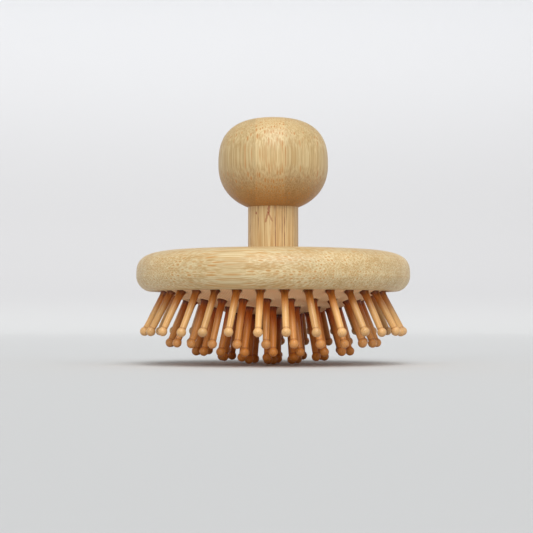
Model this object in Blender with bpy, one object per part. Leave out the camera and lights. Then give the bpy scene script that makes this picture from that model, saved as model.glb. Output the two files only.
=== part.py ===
"""Scalp massager brush: a turned ball knob on a dowel, a round wooden base and an air cushion of pins.

Metres, +Z up. The brush stands on its pins: z = 0 is the tip of the middle pin, and the Z axis is the
axis of every turned piece. The cushion is a thin rubber dome over an air chamber in the base. The pins
go through it in rings about one pitch apart. Pressing the cushion flattens the dome: the pins near the
middle rise, and those near the rim turn about a line just outside their own ring.
"""

import math

import bmesh
import bpy
from mathutils import Euler, Matrix, Vector

MM = 0.001
FIT_GAP = 0.3 * MM
SHARP_ANGLE = math.radians(30)

# Base: a round board, its edge fuller above than below.
BASE_RADIUS = 55.0 * MM
BASE_BOTTOM = 29.3 * MM
BASE_WIDEST = 35.3 * MM
BASE_TOP = 45.7 * MM
BASE_TOP_ROUND = 22.0 * MM
BASE_TOP_POWER = 3.3
BASE_BOTTOM_ROUND = 5.5 * MM
BASE_BOTTOM_POWER = 1.85
BASE_SIDES = 48

# Air chamber in the underside of the base, with a groove that holds the cushion's bead.
CHAMBER_RADIUS = 46.8 * MM
CHAMBER_TOP = 37.4 * MM
GROOVE_RADIUS = 48.4 * MM
GROOVE_BOTTOM = 32.2 * MM
GROOVE_TOP = 36.0 * MM

# Neck dowel, glued into a blind socket at each end.
NECK_RADIUS = 10.15 * MM
NECK_CHAMFER = 0.8 * MM
NECK_BOTTOM = 40.8 * MM
NECK_TOP = 77.6 * MM
NECK_SIDES = 24

# Ball knob: flat on top, fuller above its widest level than below.
KNOB_RADIUS = 22.15 * MM
KNOB_WIDEST = 80.4 * MM
KNOB_TOP_RISE = 19.0 * MM
KNOB_TOP_POWER = 2.65
KNOB_BOTTOM_DROP = 18.7 * MM
KNOB_BOTTOM_POWER = 2.2
KNOB_FLAT_RADIUS = 6.0 * MM
KNOB_SIDES = 32

# Cushion: a dome whose height over its apex is DOME_RISE at the outer ring of pins.
PIN_PITCH = 8.68 * MM
RING_COUNT = 5
OUTER_RING_RADIUS = RING_COUNT * PIN_PITCH
DOME_APEX = 20.0 * MM
DOME_RISE = 9.3 * MM
DOME_POWER = 2.3
DOME_THICKNESS = 1.5 * MM
DOME_EDGE = 45.6 * MM
DOME_STATIONS = (0.0, 13.0 * MM, 24.0 * MM, 34.0 * MM, 42.0 * MM)
CUSHION_RADIUS = CHAMBER_RADIUS - FIT_GAP
CUSHION_WALL_INNER = 45.0 * MM
CUSHION_INNER_CHAMFER = 0.4 * MM
CUSHION_CORNER_Z = 31.0 * MM
CUSHION_SIDES = 36

# Pins. Lengths run along the pin from the dome's outer face, positive towards the air chamber.
PIN_LENGTH = 18.2 * MM
PIN_BALL_RADIUS = 1.8 * MM
PIN_TIP_RADIUS = 0.8 * MM
PIN_COLLAR_RADIUS = 1.7 * MM
PIN_COLLAR_STRAIGHT = 0.5 * MM
PIN_COLLAR_LENGTH = 2.6 * MM
PIN_ROOT_RADIUS = 1.35 * MM
PIN_END_RADIUS = 1.2 * MM
PIN_HEAD_RADIUS = 2.2 * MM
PIN_HEAD_START = 1.75 * MM
PIN_HEAD_TOP = 2.6 * MM
PIN_SPLAY_PER_METRE = math.radians(28.0) / OUTER_RING_RADIUS
PIN_SIDES = 6
HOLE_RADIUS = PIN_COLLAR_RADIUS + FIT_GAP
HOLE_INNER_END = 3.2 * MM
HOLE_OUTER_END = -1.6 * MM

# The angle of the first pin of each ring, from the side that faces -Y, rings counted from the middle.
RING_START_DEG = (0.0, -13.0, -6.7, -0.8, -4.4, 5.4)

# A web behind the dome that holds the heads of pins which share one solid.
WEB_BOTTOM = 2.0 * MM
WEB_TOP = 2.6 * MM
CENTRE_WEB_RADII = (0.0, 8.0 * MM, 18.4 * MM)
CENTRE_WEB_SIDES = 12
RING_WEB_RADII = (23.8 * MM, 27.0 * MM)
RING_WEB_SIDES = 18

# How the dome gives: its rim stays put, and pressed fully it loses this share of its height at every point.
DOME_FIXED_RADIUS = 46.2 * MM
DOME_FLATTENING = 0.38

# Each material's colour and roughness.
KNOB_FINISH = (0.66, 0.48, 0.25, 1.0), 0.36
NECK_FINISH = (0.62, 0.43, 0.20, 1.0), 0.46
BASE_FINISH = (0.68, 0.50, 0.26, 1.0), 0.42
PIN_FINISH = (0.60, 0.32, 0.12, 1.0), 0.35
RUBBER_FINISH = (0.56, 0.30, 0.18, 1.0), 0.8


def clear_scene():
    for obj in list(bpy.data.objects):
        bpy.data.objects.remove(obj, do_unlink=True)


def make_material(name, finish):
    colour, roughness = finish
    material = bpy.data.materials.new(name)
    material.use_nodes = True
    shader = material.node_tree.nodes["Principled BSDF"]
    shader.inputs["Base Color"].default_value = colour
    shader.inputs["Roughness"].default_value = roughness
    shader.inputs["Metallic"].default_value = 0.0
    return material


def add_object(name, mesh, material):
    mesh.shade_smooth()
    mesh.set_sharp_from_angle(angle=SHARP_ANGLE)
    obj = bpy.data.objects.new(name, mesh)
    obj.data.materials.clear()
    obj.data.materials.append(material)
    bpy.context.collection.objects.link(obj)
    return obj


def turned_mesh(name, profile, sides):
    """A closed solid turned about Z. The profile is (radius, z) points, and may start or end on the axis."""
    shape = bmesh.new()
    points = [shape.verts.new((radius, 0.0, z)) for radius, z in profile]
    edges = [shape.edges.new(pair) for pair in zip(points, points[1:])]
    if profile[0][0] > 0:
        edges.append(shape.edges.new((points[-1], points[0])))
    bmesh.ops.spin(
        shape, geom=points + edges, angle=math.tau, steps=sides, axis=(0, 0, 1), cent=(0, 0, 0)
    )
    bmesh.ops.remove_doubles(shape, verts=shape.verts, dist=1e-6)
    bmesh.ops.recalc_face_normals(shape, faces=shape.faces)
    mesh = bpy.data.meshes.new(name)
    shape.to_mesh(mesh)
    shape.free()
    return mesh


def rounded_quarter(radius, width, widest_z, height, power, count):
    """Points of a superellipse quarter, from its widest point to its far end, height above or below it."""
    points = []
    for step in range(count + 1):
        turn = math.pi / 2 * step / count
        across = width * math.cos(turn) ** (2 / power)
        along = height * math.sin(turn) ** (2 / power)
        points.append((radius - width + across, widest_z + along))
    return points


def base_profile():
    socket_radius = NECK_RADIUS + FIT_GAP
    socket_floor = NECK_BOTTOM - FIT_GAP
    top = rounded_quarter(
        BASE_RADIUS, BASE_TOP_ROUND, BASE_WIDEST, BASE_TOP - BASE_WIDEST, BASE_TOP_POWER, 8
    )
    bottom = rounded_quarter(
        BASE_RADIUS, BASE_BOTTOM_ROUND, BASE_WIDEST, BASE_BOTTOM - BASE_WIDEST, BASE_BOTTOM_POWER, 5
    )
    inside = [
        (CHAMBER_RADIUS, BASE_BOTTOM),
        (CHAMBER_RADIUS, GROOVE_BOTTOM),
        (GROOVE_RADIUS, GROOVE_BOTTOM),
        (GROOVE_RADIUS, GROOVE_TOP),
        (CHAMBER_RADIUS, GROOVE_TOP),
        (CHAMBER_RADIUS, CHAMBER_TOP),
        (0.0, CHAMBER_TOP),
    ]
    socket = [(0.0, socket_floor), (socket_radius, socket_floor), (socket_radius, BASE_TOP)]
    return socket + list(reversed(top)) + bottom[1:] + inside


def neck_profile():
    inner = NECK_RADIUS - NECK_CHAMFER
    return [
        (0.0, NECK_TOP),
        (inner, NECK_TOP),
        (NECK_RADIUS, NECK_TOP - NECK_CHAMFER),
        (NECK_RADIUS, NECK_BOTTOM + NECK_CHAMFER),
        (inner, NECK_BOTTOM),
        (0.0, NECK_BOTTOM),
    ]


def superellipse_height(radius, full_radius, full_height, power):
    return full_height * (1 - (radius / full_radius) ** power) ** (1 / power)


def knob_outline(count, top_count):
    """Points of the ball from the rim of its flat top down to the neck's socket."""
    points = []
    for step in range(top_count + 1):
        blend = math.sin(math.pi / 2 * step / top_count)
        radius = KNOB_FLAT_RADIUS + (KNOB_RADIUS - KNOB_FLAT_RADIUS) * blend
        rise = superellipse_height(radius, KNOB_RADIUS, KNOB_TOP_RISE, KNOB_TOP_POWER)
        points.append((radius, KNOB_WIDEST + rise))
    mouth = NECK_RADIUS + FIT_GAP
    for step in range(1, count + 1):
        blend = math.cos(math.pi / 2 * step / count)
        radius = mouth + (KNOB_RADIUS - mouth) * blend
        drop = superellipse_height(radius, KNOB_RADIUS, KNOB_BOTTOM_DROP, KNOB_BOTTOM_POWER)
        points.append((radius, KNOB_WIDEST - drop))
    return points


def knob_profile():
    outline = knob_outline(count=7, top_count=8)
    socket_radius = NECK_RADIUS + FIT_GAP
    socket_top = NECK_TOP + FIT_GAP
    return [(0.0, outline[0][1])] + outline + [(socket_radius, socket_top), (0.0, socket_top)]


def dome_z(radius):
    """Height of the dome's outer face at a distance from the axis."""
    return DOME_APEX + DOME_RISE * (radius / OUTER_RING_RADIUS) ** DOME_POWER


def cushion_profile():
    """The dome, then the wall that stands in the chamber, with the bead that the groove holds."""
    outside = [(radius, dome_z(radius)) for radius in (*DOME_STATIONS, DOME_EDGE)]
    bead_radius = GROOVE_RADIUS - FIT_GAP
    wall = [
        (CUSHION_RADIUS, CUSHION_CORNER_Z),
        (CUSHION_RADIUS, GROOVE_BOTTOM + FIT_GAP),
        (bead_radius, GROOVE_BOTTOM + FIT_GAP),
        (bead_radius, GROOVE_TOP - FIT_GAP),
        (CUSHION_WALL_INNER, GROOVE_TOP - FIT_GAP),
    ]
    reach = CUSHION_WALL_INNER - CUSHION_INNER_CHAMFER
    inside = [(radius, dome_z(radius) + DOME_THICKNESS) for radius in reversed(DOME_STATIONS[:-1])]
    corner = [
        (CUSHION_WALL_INNER, dome_z(reach) + DOME_THICKNESS + CUSHION_INNER_CHAMFER),
        (reach, dome_z(reach) + DOME_THICKNESS),
    ]
    return outside + wall + corner + inside


def ring_angles(ring):
    """The direction of each pin of a ring, in radians from +X."""
    count = max(1, 6 * ring)
    start = math.radians(RING_START_DEG[ring]) - math.pi / 2
    return [start + math.tau * index / count for index in range(count)]


def pin_frame(ring, angle):
    """The place of a pin: its root on the dome's outer face, with -Z of the frame along the pin."""
    radius = ring * PIN_PITCH
    splay = radius * PIN_SPLAY_PER_METRE
    lean = Matrix.Rotation(-splay, 4, "Y")
    root = Matrix.Translation((radius, 0.0, dome_z(radius)))
    return Matrix.Rotation(angle, 4, "Z") @ root @ lean


def pin_profile():
    return [
        (0.0, PIN_HEAD_TOP),
        (PIN_HEAD_RADIUS, PIN_HEAD_TOP),
        (PIN_COLLAR_RADIUS, PIN_HEAD_START),
        (PIN_COLLAR_RADIUS, -PIN_COLLAR_STRAIGHT),
        (PIN_ROOT_RADIUS, -PIN_COLLAR_LENGTH),
        (PIN_END_RADIUS, PIN_BALL_RADIUS - PIN_LENGTH),
        (PIN_BALL_RADIUS, -PIN_LENGTH),
        (PIN_TIP_RADIUS, -PIN_LENGTH - PIN_BALL_RADIUS),
        (0.0, -PIN_LENGTH - PIN_BALL_RADIUS),
    ]


def joined_mesh(name, source, frames):
    """Copies of one mesh, each placed by a frame, in a single mesh."""
    shape = bmesh.new()
    for frame in frames:
        copy = source.copy()
        copy.transform(frame)
        shape.from_mesh(copy)
        bpy.data.meshes.remove(copy)
    mesh = bpy.data.meshes.new(name)
    shape.to_mesh(mesh)
    shape.free()
    return mesh


def add_helper(name, mesh):
    """An object that only shapes another one, so it isn't part of the brush."""
    helper = bpy.data.objects.new(name, mesh)
    bpy.context.collection.objects.link(helper)
    helper.hide_render = True
    helper.display_type = "WIRE"
    return helper


def add_boolean(obj, helper, operation):
    modifier = obj.modifiers.new(operation.title(), "BOOLEAN")
    modifier.operation = operation
    modifier.solver = "EXACT"
    modifier.object = helper


def all_pin_frames(rings):
    return [pin_frame(ring, angle) for ring in rings for angle in ring_angles(ring)]


def add_cushion(material):
    cushion = add_object(
        "air_cushion", turned_mesh("air_cushion", cushion_profile(), CUSHION_SIDES), material
    )
    outline = [
        (0.0, HOLE_INNER_END),
        (HOLE_RADIUS, HOLE_INNER_END),
        (HOLE_RADIUS, HOLE_OUTER_END),
        (0.0, HOLE_OUTER_END),
    ]
    hole = turned_mesh("pin_hole", outline, PIN_SIDES)
    holes = joined_mesh("pin_holes", hole, all_pin_frames(range(RING_COUNT + 1)))
    add_boolean(cushion, add_helper("pin_holes", holes), "DIFFERENCE")


def web_profile(radii):
    """A sheet that follows the dome, from the first radius to the last."""
    low = [(radius, dome_z(radius) + WEB_BOTTOM) for radius in radii]
    high = [(radius, dome_z(radius) + WEB_TOP) for radius in radii]
    return low + list(reversed(high))


def add_pin_group(name, web, rings, pin_mesh, material):
    """Pins of some rings, held together by a web behind the dome."""
    group = add_object(name, web, material)
    pins = joined_mesh(name + "_pins", pin_mesh, all_pin_frames(rings))
    add_boolean(group, add_helper(name + "_pins", pins), "UNION")


def hinge_offset(radius):
    """How far outside its ring a pin turns, so that it rises and straightens as the dome under it does."""
    rise = DOME_FLATTENING * (dome_z(DOME_FIXED_RADIUS) - dome_z(radius))
    slope = DOME_POWER * DOME_RISE / OUTER_RING_RADIUS
    slope *= (radius / OUTER_RING_RADIUS) ** (DOME_POWER - 1)
    turn = math.atan(slope) - math.atan(slope * (1 - DOME_FLATTENING))
    return rise / math.sin(turn)


def add_hinged_ring(label, ring, pin_mesh, material):
    """One object for each pin of a ring, its origin on the line that it turns about."""
    radius = ring * PIN_PITCH
    hinge = Vector((radius + hinge_offset(radius), 0.0, dome_z(radius)))
    mesh = joined_mesh(label, pin_mesh, [Matrix.Translation(-hinge) @ pin_frame(ring, 0.0)])
    for index, angle in enumerate(ring_angles(ring)):
        turn = Euler((0.0, 0.0, angle))
        pin = add_object(f"{label}_{index + 1:02d}", mesh, material)
        pin.rotation_euler = turn
        pin.location = turn.to_matrix() @ hinge


def main():
    clear_scene()
    knob_wood = make_material("knob_bamboo", KNOB_FINISH)
    neck_wood = make_material("neck_bamboo", NECK_FINISH)
    base_wood = make_material("base_bamboo", BASE_FINISH)
    rubber = make_material("rubber", RUBBER_FINISH)
    pin_wood = make_material("pin_wood", PIN_FINISH)

    add_object("base", turned_mesh("base", base_profile(), BASE_SIDES), base_wood)
    add_object("neck", turned_mesh("neck", neck_profile(), NECK_SIDES), neck_wood)
    add_object("knob", turned_mesh("knob", knob_profile(), KNOB_SIDES), knob_wood)
    add_cushion(rubber)

    pin_mesh = turned_mesh("pin", pin_profile(), PIN_SIDES)
    centre_web = turned_mesh("centre_pins", web_profile(CENTRE_WEB_RADII), CENTRE_WEB_SIDES)
    add_pin_group("centre_pins", centre_web, (0, 1, 2), pin_mesh, pin_wood)
    ring_web = turned_mesh("third_ring_pins", web_profile(RING_WEB_RADII), RING_WEB_SIDES)
    add_pin_group("third_ring_pins", ring_web, (3,), pin_mesh, pin_wood)
    add_hinged_ring("fourth_ring_pin", 4, pin_mesh, pin_wood)
    add_hinged_ring("outer_ring_pin", 5, pin_mesh, pin_wood)


main()
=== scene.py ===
"""Looks for the scalp massager brush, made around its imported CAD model.

Metres, +Z up, in the CAD frame: z = 0 is the tip of the middle pin, and Z is the axis of the brush.
Each turned piece is made with a fine mesh that follows the CAD's outline, and gets its own material:
bamboo for the knob, neck and base, stained wood for the pins and matte rubber for the air cushion.
"""

import math
import random

import bmesh
import bpy
from mathutils import Matrix, Vector, noise
from mathutils.geometry import delaunay_2d_cdt


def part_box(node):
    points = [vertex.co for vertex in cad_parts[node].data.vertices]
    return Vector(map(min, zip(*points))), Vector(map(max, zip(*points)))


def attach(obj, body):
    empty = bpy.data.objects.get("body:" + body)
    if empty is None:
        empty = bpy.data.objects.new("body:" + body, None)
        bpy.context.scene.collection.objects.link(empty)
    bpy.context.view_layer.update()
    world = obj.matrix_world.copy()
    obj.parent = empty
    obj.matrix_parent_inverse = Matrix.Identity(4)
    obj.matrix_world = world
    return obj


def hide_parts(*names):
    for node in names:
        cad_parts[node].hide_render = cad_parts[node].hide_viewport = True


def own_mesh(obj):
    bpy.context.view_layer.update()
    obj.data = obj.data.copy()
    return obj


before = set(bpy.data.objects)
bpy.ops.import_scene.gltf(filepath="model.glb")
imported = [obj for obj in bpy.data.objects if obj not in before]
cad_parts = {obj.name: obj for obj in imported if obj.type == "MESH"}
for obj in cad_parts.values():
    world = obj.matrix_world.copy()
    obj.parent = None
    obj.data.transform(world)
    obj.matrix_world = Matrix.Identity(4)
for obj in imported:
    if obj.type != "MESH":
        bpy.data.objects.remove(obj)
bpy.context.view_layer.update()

MM = 0.001
SHARP_ANGLE = math.radians(35)
CUSHION_SHARP_ANGLE = math.radians(50)

# The boxes of the CAD nodes give the sizes and levels of the turned pieces.
BASE_LOW, BASE_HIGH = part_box("base")
_, KNOB_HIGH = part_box("knob")
NECK_LOW, NECK_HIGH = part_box("neck")
CUSHION_LOW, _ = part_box("air_cushion")

BASE_RADIUS = BASE_HIGH.x
BASE_WIDEST = BASE_LOW.z + 6.0 * MM
BASE_TOP_ROUND = 22.0 * MM
BASE_TOP_POWER = 3.3
BASE_BOTTOM_ROUND = 5.5 * MM
BASE_BOTTOM_POWER = 1.85
CHAMBER_RADIUS = 46.8 * MM
CHAMBER_TOP = 37.4 * MM
GROOVE_RADIUS = 48.4 * MM
GROOVE_BOTTOM = 32.2 * MM
GROOVE_TOP = 36.0 * MM
SOCKET_CLEARANCE = 0.08 * MM
SOCKET_END_GAP = 0.3 * MM
SOCKET_LIP = 0.25 * MM
CHAMBER_MOUTH = 0.6 * MM

NECK_RADIUS = NECK_HIGH.x
NECK_CHAMFER = 0.8 * MM

KNOB_RADIUS = KNOB_HIGH.x
KNOB_WIDEST = 80.4 * MM
KNOB_TOP_RISE = 19.0 * MM
KNOB_TOP_POWER = 2.65
KNOB_BOTTOM_DROP = 18.7 * MM
KNOB_BOTTOM_POWER = 2.2
KNOB_FLAT_SOFTNESS = 0.05 * MM

PIN_PITCH = 8.68 * MM
RING_COUNT = 5
OUTER_RING_RADIUS = RING_COUNT * PIN_PITCH
SPLAY = math.radians(28.0)
RING_START_DEG = (0.0, -13.0, -6.7, -0.8, -4.4, 5.4)
# Painted shade for each ring of pins, from the middle out: the inner pins darker and warmer, standing in
# for the shade among the pins.
RING_PAINTED_SHADE = (1.0, 1.0, 1.0, 0.85, 0.55, 0.0)
DOME_APEX = CUSHION_LOW.z
DOME_RISE = 9.3 * MM
DOME_POWER = 2.3
DOME_THICKNESS = 1.5 * MM
DOME_EDGE = 45.6 * MM


def smooth(start, end, value):
    """0 before start, 1 after end and a smooth step between them."""
    share = min(1.0, max(0.0, (value - start) / (end - start)))
    return share * share * (3 - 2 * share)


def even_turns(count):
    return [math.tau * step / count for step in range(count)]


# ---------------------------------------------------------------- materials


def srgb(red, green, blue):
    """A colour given as 0 to 255 screen values, in the linear values that shaders use."""
    values = [v / 255 for v in (red, green, blue)]
    return (*(v / 12.92 if v <= 0.04045 else ((v + 0.055) / 1.055) ** 2.4 for v in values), 1.0)


class Graph:
    """A material's node graph. Each call adds a node and gives back its output."""

    def __init__(self, name):
        self.material = bpy.data.materials.new(name)
        self.material.use_nodes = True
        self.nodes = self.material.node_tree.nodes
        self.links = self.material.node_tree.links
        self.nodes.clear()

    def put(self, socket, value):
        if isinstance(value, bpy.types.NodeSocket):
            self.links.new(value, socket)
        else:
            socket.default_value = value

    def add(self, kind, inputs=(), output=0, **settings):
        node = self.nodes.new(kind)
        for key, value in settings.items():
            setattr(node, key, value)
        for key, value in dict(inputs).items():
            self.put(node.inputs[key], value)
        return node.outputs[output]

    def math(self, operation, *values):
        return self.add("ShaderNodeMath", enumerate(values), operation=operation)

    def vector(self, operation, *values, output=0):
        return self.add("ShaderNodeVectorMath", enumerate(values), output, operation=operation)

    def millimetres(self):
        coords = self.add("ShaderNodeTexCoord", output="Object")
        return self.add("ShaderNodeVectorMath", {0: coords, "Scale": 1000.0}, operation="SCALE")

    def dot(self, point, axis):
        return self.vector("DOT_PRODUCT", point, axis, output="Value")

    def combine(self, x, y, z):
        return self.add("ShaderNodeCombineXYZ", {"X": x, "Y": y, "Z": z})

    def stretch(self, point, x, y, z):
        return self.vector("MULTIPLY", point, (x, y, z))

    def noise(self, point, detail=2.0, roughness=0.5, output="Fac"):
        sockets = {"Vector": point, "Scale": 1.0, "Detail": detail, "Roughness": roughness}
        return self.add("ShaderNodeTexNoise", sockets, output)

    def steps(self, value, low, high, to_low=0.0, to_high=1.0):
        """A smooth step of value from low to high."""
        sockets = {
            "Value": value, "From Min": low, "From Max": high, "To Min": to_low, "To Max": to_high,
        }
        return self.add("ShaderNodeMapRange", sockets, interpolation_type="SMOOTHSTEP")

    def scale(self, value, low, high, to_low, to_high):
        """A straight line from to_low at low to to_high at high."""
        sockets = {
            "Value": value, "From Min": low, "From Max": high, "To Min": to_low, "To Max": to_high,
        }
        return self.add("ShaderNodeMapRange", sockets)

    def chance(self, value):
        """A number from 0 to 1 that jumps with value."""
        return self.add("ShaderNodeTexWhiteNoise", {"W": value}, "Value", noise_dimensions="1D")

    def mix(self, share, first, second, blend="MIX"):
        node = self.nodes.new("ShaderNodeMix")
        node.data_type = "RGBA"
        node.blend_type = blend
        node.clamp_factor = True
        self.put(node.inputs[0], share)
        self.put(node.inputs[6], first)
        self.put(node.inputs[7], second)
        return node.outputs[2]

    def shade(self, colour, factor):
        """A colour made lighter or darker by a factor."""
        grey = self.add("ShaderNodeCombineColor", {"Red": factor, "Green": factor, "Blue": factor})
        return self.mix(1.0, colour, grey, "MULTIPLY")

    def finish(self, colour, roughness, height, depth, **sockets):
        bump = self.add(
            "ShaderNodeBump", {"Height": height, "Distance": depth, "Strength": 1.0}, "Normal"
        )
        shader = self.nodes.new("ShaderNodeBsdfPrincipled")
        self.put(shader.inputs["Base Color"], colour)
        self.put(shader.inputs["Roughness"], roughness)
        self.put(shader.inputs["Normal"], bump)
        for key, value in sockets.items():
            self.put(shader.inputs[key.replace("_", " ")], value)
        output = self.nodes.new("ShaderNodeOutputMaterial")
        self.links.new(shader.outputs[0], output.inputs["Surface"])
        return self.material


def bamboo_rods(g, moved, along, spacing, radius, share, rough_edge, fade, least):
    """Cores and halos of rods about one spacing apart, which come and go along the fibre.

    moved holds the strip's own coordinates and along is the place on the fibre, in millimetres.
    """
    cell = g.nodes.new("ShaderNodeTexVoronoi")
    cell.voronoi_dimensions = "2D"
    g.put(cell.inputs["Vector"], g.stretch(moved, 1 / spacing, 0.8 / spacing, 0.0))
    g.put(cell.inputs["Scale"], 1.0)
    g.put(cell.inputs["Randomness"], 0.5)
    away = g.math("MULTIPLY", cell.outputs["Distance"], spacing)
    parts = g.nodes.new("ShaderNodeSeparateColor")
    g.put(parts.inputs["Color"], cell.outputs["Color"])
    pick, scale = parts.outputs["Red"], parts.outputs["Green"]
    reach = g.math("MULTIPLY", g.math("ADD", g.math("MULTIPLY", scale, 0.6), 0.65), radius)
    core = g.steps(away, reach, g.math("MULTIPLY", reach, 1 - rough_edge))
    halo = g.steps(away, g.math("MULTIPLY", reach, 2.2), reach)
    phase = g.combine(g.math("MULTIPLY", pick, 40.0), 0.0, g.math("MULTIPLY", along, fade))
    shown = g.steps(g.noise(phase, 1.0), 0.4, 0.6, least, 1.0)
    shown = g.math("MULTIPLY", shown, g.math("LESS_THAN", pick, share))
    return g.math("MULTIPLY", core, shown), g.math("MULTIPLY", halo, shown)


def with_marks(g, colour, point, marks):
    """A colour with small brown lines drawn on it, each with uneven edges."""
    for start, end, width, strength in marks:
        start, end = Vector(start), Vector(end)
        along = end - start
        offset = g.vector("SUBTRACT", point, start)
        share = g.math("DIVIDE", g.dot(offset, along), along.length_squared)
        share = g.add("ShaderNodeClamp", {"Value": share})
        nearest = g.add("ShaderNodeVectorMath", {0: along, "Scale": share}, operation="SCALE")
        away = g.vector("DISTANCE", offset, nearest, output="Value")
        wobble = g.math("SUBTRACT", g.noise(g.stretch(point, 1.6, 1.6, 1.6), 2.0), 0.5)
        away = g.math("ADD", away, g.math("MULTIPLY", wobble, width * 1.6))
        mark = g.steps(away, width, width * 0.5)
        colour = g.mix(g.math("MULTIPLY", mark, strength), colour, srgb(164, 84, 44))
    return colour


def bamboo(
    name, fibre, across, strip_width, strip_shift, pitch, size, density, fade,
    pale, deep, bundle=(186, 112, 54), plain_strips=0.0, rich_strip=None, streaks=0.5, marks=(),
    painted_shade=None, small_rods=0.4,
):
    """Laminated bamboo as a solid: strips side by side, with vascular bundles as rods along the fibre.

    Bundles show as dots where a surface cuts the fibre and as dashes where it runs along it.
    Lengths are in millimetres. density is the share of rods that are dark, and plain_strips is how
    much that share falls in some strips, or in all but the rich strip, given as its two edges.
    A painted shade warms and darkens the wood from one height down to another.
    """
    g = Graph(name)
    point = g.millimetres()
    fibre = Vector(fibre).normalized()
    across = Vector(across).normalized()
    third = fibre.cross(across)
    u, v, w = g.dot(point, across), g.dot(point, third), g.dot(point, fibre)
    grain = g.combine(u, v, w)

    strip = g.math("DIVIDE", g.math("ADD", u, strip_shift), strip_width)
    number = g.math("FLOOR", strip)
    tone = g.chance(number)
    plain = g.steps(g.chance(g.math("ADD", number, 31.7)), 0.35, 0.65)
    if rich_strip:
        middle, half = sum(rich_strip) / 2, (rich_strip[1] - rich_strip[0]) / 2
        away = g.math("ABSOLUTE", g.math("SUBTRACT", u, middle))
        plain = g.math("GREATER_THAN", away, half)
        tone = g.math("ADD", g.math("MULTIPLY", tone, plain), g.math("SUBTRACT", 1.0, plain))
    seam = g.math("ABSOLUTE", g.math("SUBTRACT", g.math("FRACT", strip), 0.5))
    seam = g.steps(seam, 0.5 - 0.1 / strip_width, 0.5)

    # Rods wander a little along the fibre, and each strip has its own pattern.
    wander = g.noise(g.stretch(grain, 0.1, 0.1, 0.03), 1.0, output="Color")
    wander = g.stretch(g.vector("SUBTRACT", wander, (0.5, 0.5, 0.5)), 1.4, 1.4, 0.0)
    moved = g.vector("ADD", grain, wander)
    moved = g.vector("ADD", moved, g.combine(g.math("MULTIPLY", tone, 61.0), 0.0, 0.0))

    less = g.math("SUBTRACT", 1.0, g.math("MULTIPLY", plain, plain_strips))
    core, halo = bamboo_rods(g, moved, w, pitch, size, g.math("MULTIPLY", less, density), 0.45, fade, 0.5)
    small, _ = bamboo_rods(g, moved, w, pitch * 0.6, size * 0.55, 0.85, 0.8, fade * 1.5, 0.1)

    fine = g.noise(g.stretch(moved, 4.2, 4.2, 0.12), 3.0, 0.6)
    streak = g.noise(g.stretch(moved, 2.1, 2.1, 0.03), 3.0, 0.6)
    band = g.noise(g.stretch(grain, 0.4, 0.4, 0.012), 1.0)
    cloud = g.noise(g.stretch(grain, 0.07, 0.07, 0.03), 2.0)

    level = g.math("ADD", g.math("MULTIPLY", streak, streaks), g.math("MULTIPLY", band, 1 - streaks))
    colour = g.mix(g.steps(level, 0.36, 0.64), srgb(*deep), srgb(*pale))
    colour = g.mix(g.math("MULTIPLY", halo, 0.38), colour, srgb(*(v + 8 for v in pale)))
    fine_factor = g.scale(fine, 0.25, 0.75, 0.9, 1.06)
    tone_factor = g.math("ADD", g.math("MULTIPLY", tone, 0.13), 0.92)
    factor = g.math("MULTIPLY", tone_factor, g.steps(cloud, 0.3, 0.7, 0.95, 1.05))
    colour = g.shade(colour, g.math("MULTIPLY", fine_factor, factor))
    # Painted shade: darker and warmer from the high level down to the low one.
    if painted_shade:
        low, high, tint = painted_shade
        reach = g.steps(g.dot(point, (0, 0, 1)), high, low)
        colour = g.mix(reach, colour, g.mix(1.0, colour, tint, "MULTIPLY"))
    colour = g.mix(g.math("MULTIPLY", small, small_rods), colour, srgb(*bundle))
    colour = g.mix(g.math("MULTIPLY", core, 0.8), colour, srgb(*bundle))
    colour = g.mix(g.math("MULTIPLY", seam, 0.25), colour, srgb(164, 112, 62))

    colour = with_marks(g, colour, point, marks)
    height = g.math("SUBTRACT", g.math("MULTIPLY", fine, 0.5), g.math("MULTIPLY", core, 0.35))
    height = g.math("SUBTRACT", height, g.math("MULTIPLY", seam, 0.3))
    roughness = g.math("ADD", g.math("MULTIPLY", fine, 0.2), 0.36)
    roughness = g.math("ADD", roughness, g.math("MULTIPLY", core, 0.08))
    return g.finish(colour, roughness, height, 0.012 * MM, Coat_Weight=0.12, Coat_Roughness=0.38)


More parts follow.
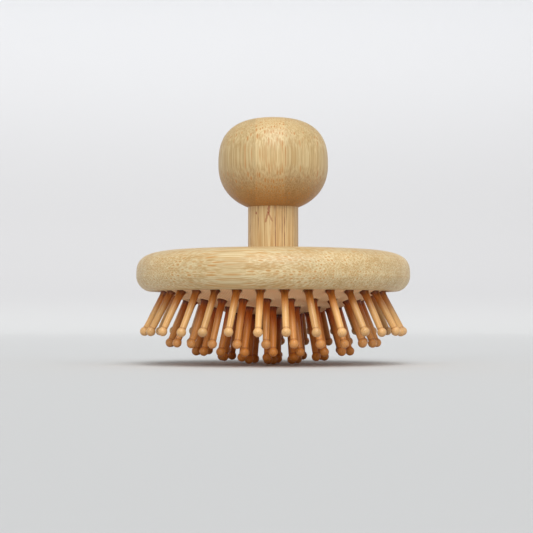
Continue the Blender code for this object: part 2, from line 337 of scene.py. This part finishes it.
def pin_wood():
    """Polished wood with fine grain along the pin, dark at the root and honey at the ball: the dark root
    is partly the wood's own stain and partly painted shade under the base.
    """
    g = Graph("stained_pin_wood")
    point = g.add("ShaderNodeAttribute", output="Vector", attribute_name="pin_point")
    tone = g.add("ShaderNodeAttribute", output="Fac", attribute_name="tone")
    shift = g.combine(g.math("MULTIPLY", tone, 50.0), 0.0, g.math("MULTIPLY", tone, 90.0))
    grain = g.vector("ADD", point, shift)
    down = g.math("MULTIPLY", g.dot(point, (0, 0, 1)), -1.0)

    fine = g.noise(g.stretch(grain, 3.6, 3.6, 0.2), 3.0, 0.6)
    streak = g.noise(g.stretch(grain, 1.3, 1.3, 0.06), 2.0, 0.5)
    # Darker towards the root: partly the wood's own stain, partly painted shade from the base above.
    level = g.math("ADD", down, g.math("MULTIPLY", g.math("SUBTRACT", streak, 0.5), 4.0))
    colour = g.mix(g.steps(level, 0.2, 3.4), srgb(108, 50, 14), srgb(200, 120, 46))
    colour = g.mix(g.steps(level, 3.0, 11.0), colour, srgb(228, 176, 110))
    # The ball is lighter, with a darker ring where it meets the shaft, and the ball's tip is end grain.
    colour = g.mix(g.steps(down, 15.8, 17.4), colour, srgb(226, 178, 118))
    neck = g.steps(g.math("ABSOLUTE", g.math("SUBTRACT", down, 16.7)), 0.5, 0.0)
    colour = g.mix(g.math("MULTIPLY", neck, 0.45), colour, srgb(150, 74, 20))
    tip = g.steps(down, 19.0, 20.0)
    colour = g.mix(g.math("MULTIPLY", tip, 0.35), colour, srgb(190, 120, 58))
    tone_factor = g.scale(tone, 0.0, 1.0, 0.84, 1.1)
    colour = g.shade(colour, g.math("MULTIPLY", tone_factor, g.scale(fine, 0.25, 0.75, 0.82, 1.1)))
    # Painted shade: pins of the inner rings are darker and warmer, standing in for the shade among the
    # pins.
    painted_shade = g.add("ShaderNodeAttribute", output="Fac", attribute_name="painted_shade")
    colour = g.mix(painted_shade, colour, g.mix(1.0, colour, (0.96, 0.56, 0.18, 1.0), "MULTIPLY"))
    dark_fibre = g.steps(g.noise(g.stretch(grain, 2.6, 2.6, 0.08), 2.0), 0.6, 0.72)
    colour = g.mix(g.math("MULTIPLY", dark_fibre, 0.45), colour, srgb(140, 68, 20))
    roughness = g.scale(fine, 0.2, 0.8, 0.34, 0.48)
    return g.finish(
        colour, roughness, fine, 0.02 * MM,
        Coat_Weight=0.35, Coat_Roughness=0.2, Specular_IOR_Level=0.3,
    )


RIB_PITCH_MM = 0.85
RIB_DIRECTION = Vector((1.0, 0.35, 0.0)).normalized() * math.tau / RIB_PITCH_MM


def cushion_rubber():
    """Matte pinkish tan rubber with fine moulded ribs, a soft grain and faint dusting."""
    g = Graph("matte_cushion_rubber")
    point = g.millimetres()
    cloud = g.noise(g.stretch(point, 0.09, 0.09, 0.09), 3.0, 0.55)
    grain = g.noise(g.stretch(point, 5.0, 5.0, 5.0), 3.0, 0.6)
    dust = g.noise(g.stretch(point, 1.1, 1.1, 1.1), 4.0, 0.6)
    bend = g.math("MULTIPLY", g.noise(g.stretch(point, 0.12, 0.12, 0.12), 1.0), 9.0)
    phase = g.math("ADD", g.dot(point, RIB_DIRECTION), bend)
    rib = g.math("SINE", phase)
    rib = g.scale(rib, -1.0, 1.0, 0.0, 1.0)
    colour = g.mix(g.steps(cloud, 0.3, 0.7), srgb(242, 194, 144), srgb(248, 206, 158))
    colour = g.mix(g.math("MULTIPLY", g.steps(dust, 0.5, 0.75), 0.3), colour, srgb(248, 218, 184))
    colour = g.shade(colour, g.steps(grain, 0.25, 0.75, 0.95, 1.04))
    colour = g.shade(colour, g.scale(rib, 0.0, 1.0, 0.93, 1.03))
    roughness = g.scale(dust, 0.2, 0.8, 0.6, 0.76)
    height = g.math("ADD", g.math("MULTIPLY", grain, 0.4), g.math("MULTIPLY", rib, 0.8))
    return g.finish(
        colour, roughness, height, 0.04 * MM,
        Subsurface_Weight=0.08, Subsurface_Radius=(1.0, 0.45, 0.25), Subsurface_Scale=0.8 * MM,
    )


def studio_paper():
    """Pale paper, with painted shade on the cove and painted light up the wall against how the lamps
    fall, so that the floor, the cove and the wall look alike from the front.
    """
    g = Graph("studio_paper")
    point = g.millimetres()
    grain = g.noise(g.stretch(point, 0.8, 0.8, 0.8), 2.0)
    up = g.dot(point, (0, 0, 1))
    # Painted shade on the cove and painted light up the wall, evening out how the lamps fall on the
    # paper.
    colour = g.mix(g.steps(up, 0.0, 60.0), srgb(*FLOOR_COLOUR), srgb(*COVE_COLOUR))
    colour = g.mix(g.steps(up, 160.0, 560.0), colour, srgb(*WALL_COLOUR))
    return g.finish(colour, 0.9, grain, 0.01 * MM, Specular_IOR_Level=0.2)


# ---------------------------------------------------------------- meshes


def turned_mesh(name, profile, sides):
    """A closed solid turned about Z, from (radius, z) points that start and end on the axis."""
    shape = bmesh.new()
    verts = [shape.verts.new((radius, 0.0, z)) for radius, z in profile]
    edges = [shape.edges.new(pair) for pair in zip(verts, verts[1:])]
    bmesh.ops.spin(
        shape, geom=verts + edges, angle=math.tau, steps=sides, axis=(0, 0, 1), cent=(0, 0, 0)
    )
    bmesh.ops.remove_doubles(shape, verts=shape.verts, dist=1e-7)
    bmesh.ops.recalc_face_normals(shape, faces=shape.faces)
    mesh = bpy.data.meshes.new(name)
    shape.to_mesh(mesh)
    shape.free()
    mesh.shade_smooth()
    mesh.set_sharp_from_angle(angle=SHARP_ANGLE)
    return mesh


def add_piece(mesh, material, body, node):
    """A piece of the brush that rides on a CAD body and stands for a CAD node."""
    piece = bpy.data.objects.new(mesh.name, mesh)
    bpy.context.scene.collection.objects.link(piece)
    mesh.materials.append(material)
    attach(piece, body)
    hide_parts(node)
    return piece


def arc(centre_radius, centre_z, size, start_deg, end_deg, count):
    """Points of a round corner of a turned profile, with angles from outwards towards +Z."""
    points = []
    for step in range(count + 1):
        angle = math.radians(start_deg + (end_deg - start_deg) * step / count)
        points.append((centre_radius + size * math.cos(angle), centre_z + size * math.sin(angle)))
    return points


# ---------------------------------------------------------------- base, neck and knob


def base_edge(width, height, power, count):
    """A quarter of the base's rounded edge, from its widest point to its far end."""
    points = []
    for step in range(count + 1):
        turn = math.pi / 2 * step / count
        across = width * math.cos(turn) ** (2 / power)
        along = height * math.sin(turn) ** (2 / power)
        points.append((BASE_RADIUS - width + across, BASE_WIDEST + along))
    return points


def base_profile():
    socket_radius = NECK_RADIUS + SOCKET_CLEARANCE
    socket_floor = NECK_LOW.z - SOCKET_END_GAP
    top = base_edge(BASE_TOP_ROUND, BASE_HIGH.z - BASE_WIDEST, BASE_TOP_POWER, 44)
    bottom = base_edge(BASE_BOTTOM_ROUND, BASE_LOW.z - BASE_WIDEST, BASE_BOTTOM_POWER, 28)
    socket = [(0.0, socket_floor), (socket_radius, socket_floor)]
    socket += arc(socket_radius + SOCKET_LIP, BASE_HIGH.z - SOCKET_LIP, SOCKET_LIP, 180, 90, 4)
    mouth_radius = CHAMBER_RADIUS + CHAMBER_MOUTH
    underside = arc(mouth_radius, BASE_LOW.z + CHAMBER_MOUTH, CHAMBER_MOUTH, 270, 180, 6)
    chamber = [
        (CHAMBER_RADIUS, GROOVE_BOTTOM),
        (GROOVE_RADIUS, GROOVE_BOTTOM),
        (GROOVE_RADIUS, GROOVE_TOP),
        (CHAMBER_RADIUS, GROOVE_TOP),
        (CHAMBER_RADIUS, CHAMBER_TOP),
        (0.0, CHAMBER_TOP),
    ]
    return socket + list(reversed(top)) + bottom[1:] + underside + chamber


def neck_profile():
    inner = NECK_RADIUS - NECK_CHAMFER
    upper = [(0.0, NECK_HIGH.z), (inner, NECK_HIGH.z), (NECK_RADIUS, NECK_HIGH.z - NECK_CHAMFER)]
    lower = [(NECK_RADIUS, NECK_LOW.z + NECK_CHAMFER), (inner, NECK_LOW.z), (0.0, NECK_LOW.z)]
    return upper + lower


def knob_top_z(radius):
    """The ball's upper outline, with its top turned flat."""
    share = min(1.0, radius / KNOB_RADIUS)
    ball = KNOB_WIDEST + KNOB_TOP_RISE * (1 - share**KNOB_TOP_POWER) ** (1 / KNOB_TOP_POWER)
    drop = KNOB_HIGH.z - ball
    return KNOB_HIGH.z - (drop + math.hypot(drop, KNOB_FLAT_SOFTNESS)) / 2


def knob_bottom_z(radius):
    share = min(1.0, radius / KNOB_RADIUS)
    return KNOB_WIDEST - KNOB_BOTTOM_DROP * (1 - share**KNOB_BOTTOM_POWER) ** (1 / KNOB_BOTTOM_POWER)


def knob_profile():
    steps = 56
    mouth = NECK_RADIUS + SOCKET_CLEARANCE
    quarter = [math.pi / 2 * step / steps for step in range(steps + 1)]
    top = [(KNOB_RADIUS * math.sin(turn), knob_top_z(KNOB_RADIUS * math.sin(turn))) for turn in quarter]
    radii = [mouth + (KNOB_RADIUS - mouth) * math.cos(turn) for turn in quarter[1:]]
    bottom = [(radius, knob_bottom_z(radius)) for radius in radii]
    socket_top = NECK_HIGH.z + SOCKET_END_GAP
    return top + bottom + [(mouth, socket_top), (0.0, socket_top)]


def add_wooden_pieces():
    # The knob gets painted shade, darker and warmer from z 82 mm down to 61 mm, under its widest part.
    knob_wood = bamboo(
        "knob_bamboo_wood", fibre=(0, 0.03, 1), across=(1, 0, 0), strip_width=11.6,
        strip_shift=7.1, pitch=1.15, size=0.37, density=1.0, fade=0.12, plain_strips=0.5,
        rich_strip=(-7.1, 4.5), streaks=0.8, small_rods=0.34, pale=(220, 196, 146), deep=(194, 158, 102),
        bundle=(188, 124, 52), painted_shade=(61.0, 82.0, (0.58, 0.38, 0.24, 1.0)),
    )
    neck_wood = bamboo(
        "neck_bamboo_wood", fibre=(0, 0.01, 1), across=(1, 0.3, 0), strip_width=12.0,
        strip_shift=5.5, pitch=0.95, size=0.27, density=0.85, fade=0.17, plain_strips=0.3,
        streaks=0.9, pale=(236, 209, 156), deep=(202, 154, 94), bundle=(146, 80, 36),
        marks=NECK_MARKS,
    )
    base_wood = bamboo(
        "base_bamboo_wood", fibre=(1, -0.3, 0), across=(0.3, 1, 0), strip_width=18.0,
        strip_shift=5.0, pitch=1.05, size=0.33, density=0.95, fade=0.08, plain_strips=0.3,
        streaks=0.75, pale=(230, 210, 164), deep=(200, 160, 100), bundle=(194, 138, 66),
    )
    base = turned_mesh("turned_base", base_profile(), 288)
    neck = turned_mesh("turned_neck", neck_profile(), 160)
    knob = turned_mesh("turned_knob", knob_profile(), 224)
    add_piece(base, base_wood, "brush_body", "base")
    add_piece(neck, neck_wood, "brush_body", "neck")
    add_piece(knob, knob_wood, "brush_body", "knob")


# A small branching stain on the front of the neck, as lines (start, end, width, strength).
NECK_MARKS = (
    ((-1.5, -10.0, 64.5), (-2.0, -9.9, 60.6), 0.62, 0.7),
    ((-2.0, -9.9, 60.6), (-3.1, -9.7, 57.0), 0.5, 0.6),
    ((-2.0, -9.9, 60.6), (-0.5, -10.1, 57.3), 0.46, 0.55),
    ((-6.8, -7.5, 60.8), (-6.8, -7.5, 60.4), 0.5, 0.85),
)


# ---------------------------------------------------------------- where the pins stand


def dome_z(radius):
    """Height of the dome's outer face at a distance from the axis."""
    return DOME_APEX + DOME_RISE * (radius / OUTER_RING_RADIUS) ** DOME_POWER


def dome_slope(radius):
    return DOME_POWER * DOME_RISE / OUTER_RING_RADIUS * (radius / OUTER_RING_RADIUS) ** (DOME_POWER - 1)


def ring_angles(ring):
    """The direction of each pin of a ring, in radians from +X."""
    start = math.radians(RING_START_DEG[ring]) - math.pi / 2
    return [start + turn for turn in even_turns(max(1, 6 * ring))]


def pin_place(ring, angle):
    """The place of a pin: its root on the dome's outer face, with the pin along -Z."""
    radius = ring * PIN_PITCH
    lean = Matrix.Rotation(-SPLAY * radius / OUTER_RING_RADIUS, 4, "Y")
    root = Matrix.Translation((radius, 0.0, dome_z(radius)))
    return Matrix.Rotation(angle, 4, "Z") @ root @ lean


def root_point(ring, angle):
    return Vector((math.cos(angle), math.sin(angle))) * ring * PIN_PITCH


PINS = [(ring, index, a) for ring in range(RING_COUNT + 1) for index, a in enumerate(ring_angles(ring))]


# ---------------------------------------------------------------- air cushion

PRESSED_SHARE = 0.62  # of the dome's height is left at full press
HOLE_RADIUS = 2.0 * MM
HOLE_SIDES = 28
LIP_HEIGHT = 0.45 * MM
LIP_CREST = 0.3 * MM
LIP_FOOT = 1.3 * MM
LIP_RINGS = (0.1 * MM, 0.3 * MM, 0.5 * MM, 0.75 * MM, 1.0 * MM, 1.35 * MM)
RIM_SIDES = 240
RIM_CLEARANCE = 0.35 * MM
LATTICE_STEP = 1.3 * MM
LATTICE_CLEARANCE = 3.6 * MM
RIPPLE = 0.12 * MM
RIPPLE_LENGTH = 7 * MM
CUSHION_RADIUS = 46.5 * MM
CUSHION_WALL_INNER = 45.0 * MM
CUSHION_CORNER_Z = 31.0 * MM
BEAD_RADIUS = 48.1 * MM
BEAD_BOTTOM = 33.2 * MM
BEAD_TOP = 35.7 * MM
BEAD_ROUND = 0.45 * MM


def hole_loop(ring, angle, extra):
    """A loop round a pin's hole in the dome, seen from below. It is long enough along the dome's
    slope to be round when the cushion is pressed flat."""
    outward = Vector((math.cos(angle), math.sin(angle)))
    across = Vector((-outward.y, outward.x))
    size = HOLE_RADIUS + extra
    flat = size / math.hypot(1.0, PRESSED_SHARE * dome_slope(ring * PIN_PITCH))
    root = root_point(ring, angle)
    turns = even_turns(HOLE_SIDES)
    return [root + outward * flat * math.cos(t) + across * size * math.sin(t) for t in turns]


def lattice_points(roots):
    """Points between the holes, on a triangular lattice."""
    row_step = LATTICE_STEP * math.sqrt(3) / 2
    rows = int(DOME_EDGE / row_step) + 1
    found = []
    for row in range(-rows, rows + 1):
        for column in range(-rows, rows + 1):
            point = Vector(((column + row % 2 / 2) * LATTICE_STEP, row * row_step))
            clear = min((point - root).length for root in roots) > LATTICE_CLEARANCE
            if clear and point.length < DOME_EDGE - LATTICE_STEP:
                found.append(point)
    return found


def dome_layout(roots):
    """The dome seen from below: its points, its triangles, the loop of each hole and the rim."""
    points = [Vector((math.cos(t), math.sin(t))) * DOME_EDGE for t in even_turns(RIM_SIDES)]
    edges = [(step, (step + 1) % RIM_SIDES) for step in range(RIM_SIDES)]
    for ring, _, angle in PINS:
        first = len(points)
        points += hole_loop(ring, angle, 0.0)
        edges += [(first + step, first + (step + 1) % HOLE_SIDES) for step in range(HOLE_SIDES)]
    for ring, _, angle in PINS:
        for extra in LIP_RINGS:
            loop = hole_loop(ring, angle, extra)
            points += [point for point in loop if point.length < DOME_EDGE - RIM_CLEARANCE]
    points += lattice_points(roots)
    placed, _, faces, origins, _, _ = delaunay_2d_cdt(points, edges, [], 1, 1e-9)
    new_index = {old: new for new, olds in enumerate(origins) for old in olds}
    rim = [new_index[step] for step in range(RIM_SIDES)]
    loops, hole_of = [], {}
    for number in range(len(PINS)):
        first = RIM_SIDES + number * HOLE_SIDES
        loops.append([new_index[first + step] for step in range(HOLE_SIDES)])
        hole_of.update((index, number) for index in loops[-1])
    triangles = []
    for face in faces:
        holes = {hole_of.get(corner) for corner in face}
        if len(holes) > 1 or None in holes:
            triangles.append(tuple(face))
    return placed, triangles, loops, rim


def lip_height(point, roots):
    """How far the rubber is drawn out along a pin's collar at a point of the dome."""
    away = min((point - root).length for root in roots) - HOLE_RADIUS
    share = 0.6 + 0.4 * smooth(0.0, LIP_CREST, away)
    share *= 1 - smooth(LIP_CREST, LIP_FOOT, away)
    share *= smooth(DOME_EDGE + 0.3 * MM, DOME_EDGE - 1.4 * MM, point.length)
    return share * min(LIP_HEIGHT, 0.8 * (dome_z(point.length) - DOME_APEX))


def ripple(point, roots):
    """A slight unevenness of the rubber between the pins."""
    away = min((point - root).length for root in roots)
    calm = smooth(2.2 * MM, 4.2 * MM, away) * smooth(DOME_EDGE, DOME_EDGE - 5 * MM, point.length)
    return RIPPLE * calm * noise.noise(Vector((point.x, point.y, 0.0)) / RIPPLE_LENGTH)


def dome_normal(point):
    """The direction from the dome's outer face to its inner face."""
    radius = point.length
    if radius == 0:
        return Vector((0.0, 0.0, 1.0))
    tilt = -dome_slope(radius) / radius
    return Vector((point.x * tilt, point.y * tilt, 1.0)).normalized()


def cushion_wall():
    """The outline of the cushion's wall and bead, from the dome's outer rim round to its inner one."""
    wall = [(CUSHION_RADIUS - 0.1 * MM, CUSHION_CORNER_Z - 0.25 * MM), (CUSHION_RADIUS, CUSHION_CORNER_Z)]
    wall += [(CUSHION_RADIUS, BEAD_BOTTOM)]
    wall += arc(BEAD_RADIUS - BEAD_ROUND, BEAD_BOTTOM + BEAD_ROUND, BEAD_ROUND, -90, 0, 4)
    wall += arc(BEAD_RADIUS - BEAD_ROUND, BEAD_TOP - BEAD_ROUND, BEAD_ROUND, 0, 90, 4)
    return wall + [(CUSHION_WALL_INNER, BEAD_TOP), (CUSHION_WALL_INNER, CUSHION_CORNER_Z + 1.3 * MM)]


def ring_faces(lower, upper):
    """The faces between two loops of the same number of vertices."""
    return list(zip(lower, lower[1:] + lower[:1], upper[1:] + upper[:1], upper))


def cushion_mesh():
    roots = [root_point(ring, angle) for ring, _, angle in PINS]
    flat, triangles, loops, rim = dome_layout(roots)
    outer, inner = [], []
    for point in flat:
        face = Vector((point.x, point.y, dome_z(point.length)))
        bump = max(ripple(point, roots), 0.0)
        outer.append(face + dome_normal(point) * (bump - lip_height(point, roots)))
        inner.append(face + dome_normal(point) * DOME_THICKNESS)
    count = len(flat)
    verts = outer + inner
    faces = [tuple(reversed(t)) for t in triangles]
    faces += [tuple(corner + count for corner in t) for t in triangles]
    for loop in loops:
        faces += ring_faces(loop, [corner + count for corner in loop])

    previous = rim
    for radius, z in cushion_wall():
        row = list(range(len(verts), len(verts) + RIM_SIDES))
        verts += [Vector((radius * math.cos(t), radius * math.sin(t), z)) for t in even_turns(RIM_SIDES)]
        faces += ring_faces(previous, row)
        previous = row
    faces += ring_faces(previous, [corner + count for corner in rim])

    mesh = bpy.data.meshes.new("rubber_air_cushion")
    mesh.from_pydata(verts, [], faces)
    shape = bmesh.new()
    shape.from_mesh(mesh)
    bmesh.ops.recalc_face_normals(shape, faces=shape.faces)
    shape.to_mesh(mesh)
    shape.free()
    mesh.shade_smooth()
    mesh.set_sharp_from_angle(angle=CUSHION_SHARP_ANGLE)
    return mesh


def add_cushion():
    cushion = add_piece(cushion_mesh(), cushion_rubber(), "brush_body", "air_cushion")
    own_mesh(cushion)


# ---------------------------------------------------------------- pins

PIN_SIDES = 30
PIN_LENGTH = 18.2 * MM
BALL_RADIUS = 1.8 * MM
HEAD_RADIUS = 2.2 * MM
HEAD_BOTTOM = 1.75 * MM
HEAD_TOP = 2.6 * MM
HEAD_CORNER = 0.3 * MM
HEAD_CORNER_DROP = 0.25 * MM
HEAD_FOOT = 0.15 * MM
HEAD_FOOT_RISE = 0.1 * MM
WAIST_RADIUS = 1.4 * MM
WAIST_BOTTOM = 0.25 * MM
COLLAR_RADIUS = 1.84 * MM
SHOULDER_RADIUS = 1.6 * MM
COLLAR_TOP = 0.45 * MM
COLLAR_STRAIGHT = 0.65 * MM
COLLAR_END = 2.7 * MM
THROAT_RADIUS = 1.4 * MM
SHAFT_END_RADIUS = 1.24 * MM
PIN_BEND = 0.1 * MM
PIN_UNEVENNESS = 0.022
PIN_UNEVEN_LENGTH = 2.2 * MM
TILT_DEG = 1.1
SEED = 11


def pin_profile(wear):
    """A pin's outline from its head, behind the rubber, to its ball. wear is from -1 to 1."""
    collar = COLLAR_RADIUS * (1 + 0.02 * wear)
    throat = THROAT_RADIUS * (1 - 0.035 * wear)
    shaft = SHAFT_END_RADIUS * (1 + 0.03 * wear)
    ball = BALL_RADIUS * (1 + 0.012 * wear)
    length = PIN_LENGTH + BALL_RADIUS - ball
    flare = COLLAR_END * (1 - 0.1 * wear)
    points = [(0.0, HEAD_TOP), (HEAD_RADIUS - HEAD_CORNER, HEAD_TOP)]
    points += [(HEAD_RADIUS, HEAD_TOP - HEAD_CORNER_DROP), (HEAD_RADIUS, HEAD_BOTTOM + HEAD_FOOT_RISE)]
    points += [(HEAD_RADIUS - HEAD_FOOT, HEAD_BOTTOM)]
    # The waist leaves the rubber room to shear round the pin as the cushion is pressed.
    points += [(WAIST_RADIUS, HEAD_BOTTOM), (WAIST_RADIUS, WAIST_BOTTOM)]
    points += [(SHOULDER_RADIUS, 0.0), (collar, -COLLAR_TOP), (collar, -COLLAR_STRAIGHT)]
    for step in range(1, 11):
        share = step / 10
        radius = throat + (collar - throat) * (1 - share) ** 2.2
        points.append((radius, -COLLAR_STRAIGHT - (flare - COLLAR_STRAIGHT) * share))
    # The shaft narrows to a throat where it meets the ball.
    meet = math.asin(min(1.0, shaft * 0.97 / ball))
    shaft_end = -length + ball * math.cos(meet)
    for step in range(1, 8):
        share = step / 8
        radius = throat + (shaft - throat) * share**1.15
        points.append((radius, -flare + (shaft_end + 0.3 * MM + flare) * share))
    points.append((shaft * 0.985, shaft_end + 0.22 * MM))
    turns = [meet + (math.pi - meet) * step / 14 for step in range(15)]
    points += [(ball * math.sin(turn), -length + ball * math.cos(turn)) for turn in turns]
    points[-1] = (0.0, -length - ball)
    return points


def pin_mesh(name, ring, rng):
    """A pin in its own frame, with its wood's coordinates, tone and its ring's painted shade as
    attributes.
    """
    wear = rng.uniform(-1, 1)
    mesh = turned_mesh(name, pin_profile(wear), PIN_SIDES)
    bend = Vector((rng.uniform(-1, 1), rng.uniform(-1, 1))) * PIN_BEND
    seed = Vector((rng.uniform(0, 99), 0.0, 0.0))
    for vertex in mesh.vertices:
        down = min(1.0, max(0.0, -vertex.co.z / PIN_LENGTH))
        grain = noise.noise(vertex.co / PIN_UNEVEN_LENGTH + seed)
        uneven = 1 + PIN_UNEVENNESS * grain * smooth(0.0, 0.2, down)
        vertex.co.x = vertex.co.x * uneven + bend.x * math.sin(math.pi * down)
        vertex.co.y = vertex.co.y * uneven + bend.y * math.sin(math.pi * down)
    own = mesh.attributes.new("pin_point", "FLOAT_VECTOR", "POINT")
    own.data.foreach_set("vector", [axis / MM for vertex in mesh.vertices for axis in vertex.co])
    tone = mesh.attributes.new("tone", "FLOAT", "POINT")
    tone.data.foreach_set("value", [rng.random()] * len(mesh.vertices))
    # Each ring's painted shade, which makes the inner pins darker and warmer.
    painted_shade = mesh.attributes.new("painted_shade", "FLOAT", "POINT")
    painted_shade.data.foreach_set("value", [RING_PAINTED_SHADE[ring]] * len(mesh.vertices))
    return mesh


def pin_home(ring, index):
    """The CAD body and node that a pin belongs to."""
    if ring < 3:
        return "centre_pin_group", "centre_pins"
    if ring == 3:
        return "third_ring_group", "third_ring_pins"
    row = "fourth_ring" if ring == 4 else "outer_ring"
    return f"{row}_body_{index + 1:02d}", f"{row}_pin_{index + 1:02d}"


def add_pins():
    wood = pin_wood()
    rng = random.Random(SEED)
    for ring, index, angle in PINS:
        body, node = pin_home(ring, index)
        mesh = pin_mesh(f"turned_pin_{ring}_{index + 1:02d}", ring, rng)
        tilt = math.radians(TILT_DEG) if ring else 0.0
        lean = Matrix.Rotation(rng.uniform(-tilt, tilt), 4, "X")
        lean = lean @ Matrix.Rotation(rng.uniform(-tilt, tilt), 4, "Y")
        spin = Matrix.Rotation(rng.uniform(0, math.tau), 4, "Z")
        mesh.transform(pin_place(ring, angle) @ lean @ spin)
        add_piece(mesh, wood, body, node)


# ---------------------------------------------------------------- studio

FLOOR_RADIUS = 1.3
COVE_RADIUS = 0.6
WALL_HEIGHT = 0.72
FLOOR_COLOUR = (207, 208, 209)
COVE_COLOUR = (197, 197, 199)
WALL_COLOUR = (224, 225, 228)
SKY_COLOUR = (0.95, 0.98, 1.0, 1.0)
SKY_STRENGTH = 0.42
CAMERA_LENS_MM = 105.4
CAMERA_PLACE = Vector((-2.69 * MM, -0.629, 17.9 * MM))
CAMERA_PITCH = math.radians(90 + 1.96)


def add_studio():
    """A round pale cove with a flat floor, seamless from every side."""
    profile = [(FLOOR_RADIUS * share, 0.0) for share in (0.0, 0.25, 0.5, 0.75)]
    profile += arc(FLOOR_RADIUS, COVE_RADIUS, COVE_RADIUS, -90, 0, 24)
    profile += [(FLOOR_RADIUS + COVE_RADIUS, WALL_HEIGHT)]
    shape = bmesh.new()
    verts = [shape.verts.new((radius, 0.0, z)) for radius, z in profile]
    edges = [shape.edges.new(pair) for pair in zip(verts, verts[1:])]
    bmesh.ops.spin(
        shape, geom=verts + edges, angle=math.tau, steps=128, axis=(0, 0, 1), cent=(0, 0, 0)
    )
    bmesh.ops.remove_doubles(shape, verts=shape.verts, dist=1e-6)
    mesh = bpy.data.meshes.new("studio_cove")
    shape.to_mesh(mesh)
    shape.free()
    mesh.shade_smooth()
    cove = bpy.data.objects.new("studio_cove", mesh)
    bpy.context.scene.collection.objects.link(cove)
    mesh.materials.append(studio_paper())


def add_sun(name, azimuth_deg, height_deg, softness_deg, strength, colour):
    """A soft light from far off. Azimuth 0 is in front of the brush and 90 on its right."""
    light = bpy.data.lights.new(name, "SUN")
    light.angle = math.radians(softness_deg)
    light.energy = strength
    light.color = colour
    lamp = bpy.data.objects.new(name, light)
    bpy.context.scene.collection.objects.link(lamp)
    azimuth, height = math.radians(azimuth_deg), math.radians(height_deg)
    toward = Vector((math.sin(azimuth), -math.cos(azimuth), 0.0)) * math.cos(height)
    toward.z = math.sin(height)
    lamp.rotation_euler = toward.to_track_quat("Z", "Y").to_euler()


def add_lights():
    world = bpy.data.worlds.new("studio_air")
    bpy.context.scene.world = world
    world.use_nodes = True
    background = world.node_tree.nodes["Background"]
    background.inputs["Color"].default_value = SKY_COLOUR
    background.inputs["Strength"].default_value = SKY_STRENGTH
    add_sun("high_key", 10, 64, 35, 1.45, (1.0, 0.985, 0.96))
    add_sun("low_key", 0, 37, 26, 1.0, (1.0, 0.985, 0.96))
    add_sun("fill", 50, 30, 45, 0.3, (1.0, 0.99, 0.98))
    add_sun("streak", -36, 24, 9, 0.2, (1.0, 0.99, 0.97))


def add_camera():
    data = bpy.data.cameras.new("camera")
    data.lens = CAMERA_LENS_MM
    data.sensor_width = 36.0
    data.clip_start = 0.01
    camera = bpy.data.objects.new("camera", data)
    bpy.context.scene.collection.objects.link(camera)
    camera.location = CAMERA_PLACE
    camera.rotation_euler = (CAMERA_PITCH, 0.0, 0.0)
    bpy.context.scene.camera = camera


add_wooden_pieces()
add_cushion()
add_pins()
add_studio()
add_lights()
add_camera()
bpy.context.scene.view_settings.view_transform = "Standard"
